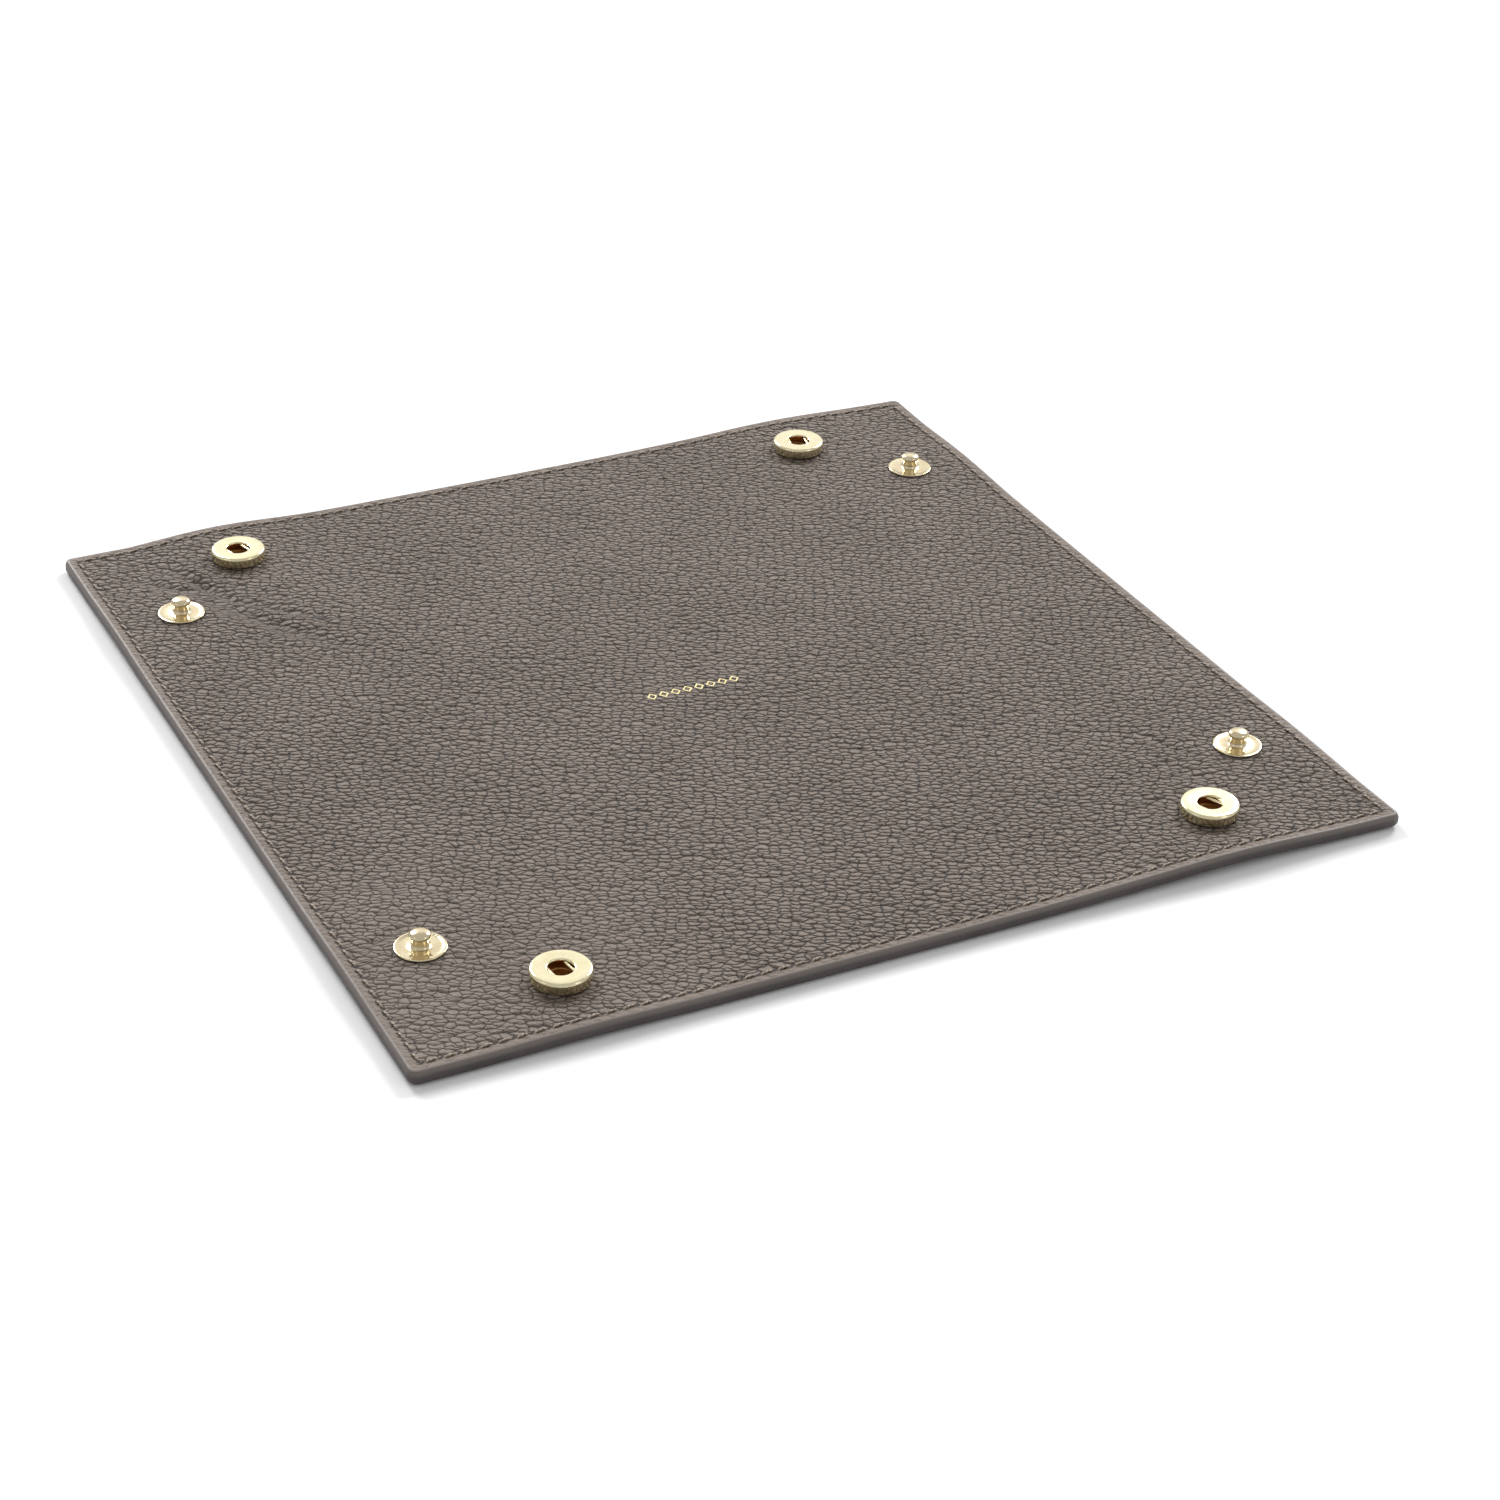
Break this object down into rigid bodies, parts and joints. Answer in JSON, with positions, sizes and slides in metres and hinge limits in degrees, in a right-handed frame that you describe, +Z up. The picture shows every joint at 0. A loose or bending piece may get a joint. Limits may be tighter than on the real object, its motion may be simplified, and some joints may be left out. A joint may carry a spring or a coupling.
{
  "type": "folding snap tray",
  "caption": "Square leather valet or dice tray lying flat; corner snap fasteners pinch it into an open box.",
  "frame": {"origin": "middle of the footprint, at the underside of the rivet caps it rests on", "axes": "+Z up out of the face leather, +X along the front edge to the right, +Y to the back edge; the edges with the snap sockets are front and back"},
  "size_m": [0.21, 0.21, 0.0071],
  "materials": {
    "face_leather": "taupe pebbled full-grain leather, soft sheen",
    "lining_leather": "smooth taupe lining leather",
    "stiffener": "grey fibreboard",
    "thread": "waxed taupe thread, a shade lighter than the leather",
    "snap_metal": "polished pale champagne gold plate",
    "spring_wire": "bronze spring wire"
  },
  "bodies": {
    "floor": {"face_floor": "face_leather", "lining_floor": "lining_leather", "floor_board": "stiffener"},
    "wall_front": {"face_wall_front": "face_leather", "lining_wall_front": "lining_leather", "thread_wall_front": "thread"},
    "wall_back": {"face_wall_back": "face_leather", "lining_wall_back": "lining_leather", "thread_wall_back": "thread"},
    "wall_left": {"face_wall_left": "face_leather", "lining_wall_left": "lining_leather", "thread_wall_left": "thread"},
    "wall_right": {"face_wall_right": "face_leather", "lining_wall_right": "lining_leather", "thread_wall_right": "thread"},
    "flap_socket_front_left": {"face_flap_socket_front_left": "face_leather", "lining_flap_socket_front_left": "lining_leather", "thread_flap_socket_front_left": "thread", "socket_front_left": "snap_metal", "spring_front_left": "spring_wire", "cap_socket_front_left": "snap_metal"},
    "flap_stud_front_left": {"face_flap_stud_front_left": "face_leather", "lining_flap_stud_front_left": "lining_leather", "thread_flap_stud_front_left": "thread", "stud_front_left": "snap_metal", "cap_stud_front_left": "snap_metal"},
    "flap_socket_front_right": {"face_flap_socket_front_right": "face_leather", "lining_flap_socket_front_right": "lining_leather", "thread_flap_socket_front_right": "thread", "socket_front_right": "snap_metal", "spring_front_right": "spring_wire", "cap_socket_front_right": "snap_metal"},
    "flap_stud_front_right": {"face_flap_stud_front_right": "face_leather", "lining_flap_stud_front_right": "lining_leather", "thread_flap_stud_front_right": "thread", "stud_front_right": "snap_metal", "cap_stud_front_right": "snap_metal"},
    "flap_socket_back_right": {"face_flap_socket_back_right": "face_leather", "lining_flap_socket_back_right": "lining_leather", "thread_flap_socket_back_right": "thread", "socket_back_right": "snap_metal", "spring_back_right": "spring_wire", "cap_socket_back_right": "snap_metal"},
    "flap_stud_back_right": {"face_flap_stud_back_right": "face_leather", "lining_flap_stud_back_right": "lining_leather", "thread_flap_stud_back_right": "thread", "stud_back_right": "snap_metal", "cap_stud_back_right": "snap_metal"},
    "flap_socket_back_left": {"face_flap_socket_back_left": "face_leather", "lining_flap_socket_back_left": "lining_leather", "thread_flap_socket_back_left": "thread", "socket_back_left": "snap_metal", "spring_back_left": "spring_wire", "cap_socket_back_left": "snap_metal"},
    "flap_stud_back_left": {"face_flap_stud_back_left": "face_leather", "lining_flap_stud_back_left": "lining_leather", "thread_flap_stud_back_left": "thread", "stud_back_left": "snap_metal", "cap_stud_back_left": "snap_metal"}
  },
  "joints": [
    {"name": "fold_front", "type": "hinge", "parent": "floor", "child": "wall_front", "pos_m": [0, -0.06, 0.0036], "axis": [-1, 0, 0], "range_deg": [0, 90]},
    {"name": "fold_back", "type": "hinge", "parent": "floor", "child": "wall_back", "pos_m": [0, 0.06, 0.0036], "axis": [1, 0, 0], "range_deg": [0, 90]},
    {"name": "fold_left", "type": "hinge", "parent": "floor", "child": "wall_left", "pos_m": [-0.06, 0, 0.0036], "axis": [0, 1, 0], "range_deg": [0, 90]},
    {"name": "fold_right", "type": "hinge", "parent": "floor", "child": "wall_right", "pos_m": [0.06, 0, 0.0036], "axis": [0, -1, 0], "range_deg": [0, 90]},
    {"name": "crease_front_left", "type": "hinge", "parent": "wall_front", "child": "flap_socket_front_left", "pos_m": [-0.05689, -0.0825, 0.0008], "axis": [0, -1, 0], "range_deg": [0, 45]},
    {"name": "pinch_front_left", "type": "hinge", "parent": "flap_socket_front_left", "child": "flap_stud_front_left", "pos_m": [-0.0825, -0.0825, 0.00498], "axis": [0.7071, 0.7071, 0], "range_deg": [0, 180], "deforming": ["spring_front_left"]},
    {"name": "crease_front_right", "type": "hinge", "parent": "wall_front", "child": "flap_socket_front_right", "pos_m": [0.05689, -0.0825, 0.0008], "axis": [0, 1, 0], "range_deg": [0, 45]},
    {"name": "pinch_front_right", "type": "hinge", "parent": "flap_socket_front_right", "child": "flap_stud_front_right", "pos_m": [0.0825, -0.0825, 0.00498], "axis": [0.7071, -0.7071, 0], "range_deg": [0, 180], "deforming": ["spring_front_right"]},
    {"name": "crease_back_right", "type": "hinge", "parent": "wall_back", "child": "flap_socket_back_right", "pos_m": [0.05689, 0.0825, 0.0008], "axis": [0, 1, 0], "range_deg": [0, 45]},
    {"name": "pinch_back_right", "type": "hinge", "parent": "flap_socket_back_right", "child": "flap_stud_back_right", "pos_m": [0.0825, 0.0825, 0.00498], "axis": [-0.7071, -0.7071, 0], "range_deg": [0, 180], "deforming": ["spring_back_right"]},
    {"name": "crease_back_left", "type": "hinge", "parent": "wall_back", "child": "flap_socket_back_left", "pos_m": [-0.05689, 0.0825, 0.0008], "axis": [0, -1, 0], "range_deg": [0, 45]},
    {"name": "pinch_back_left", "type": "hinge", "parent": "flap_socket_back_left", "child": "flap_stud_back_left", "pos_m": [-0.0825, 0.0825, 0.00498], "axis": [-0.7071, 0.7071, 0], "range_deg": [0, 180], "deforming": ["spring_back_left"]}
  ],
  "couplings": [
    {"joint": "fold_back", "follows": "fold_front", "ratio": 1},
    {"joint": "fold_left", "follows": "fold_front", "ratio": 1},
    {"joint": "fold_right", "follows": "fold_front", "ratio": 1},
    {"joint": "crease_front_left", "follows": "fold_front", "ratio": 0.5},
    {"joint": "pinch_front_left", "follows": "fold_front", "ratio": 1.998},
    {"joint": "crease_front_right", "follows": "fold_front", "ratio": 0.5},
    {"joint": "pinch_front_right", "follows": "fold_front", "ratio": 1.998},
    {"joint": "crease_back_right", "follows": "fold_front", "ratio": 0.5},
    {"joint": "pinch_back_right", "follows": "fold_front", "ratio": 1.998},
    {"joint": "crease_back_left", "follows": "fold_front", "ratio": 0.5},
    {"joint": "pinch_back_left", "follows": "fold_front", "ratio": 1.998}
  ]
}
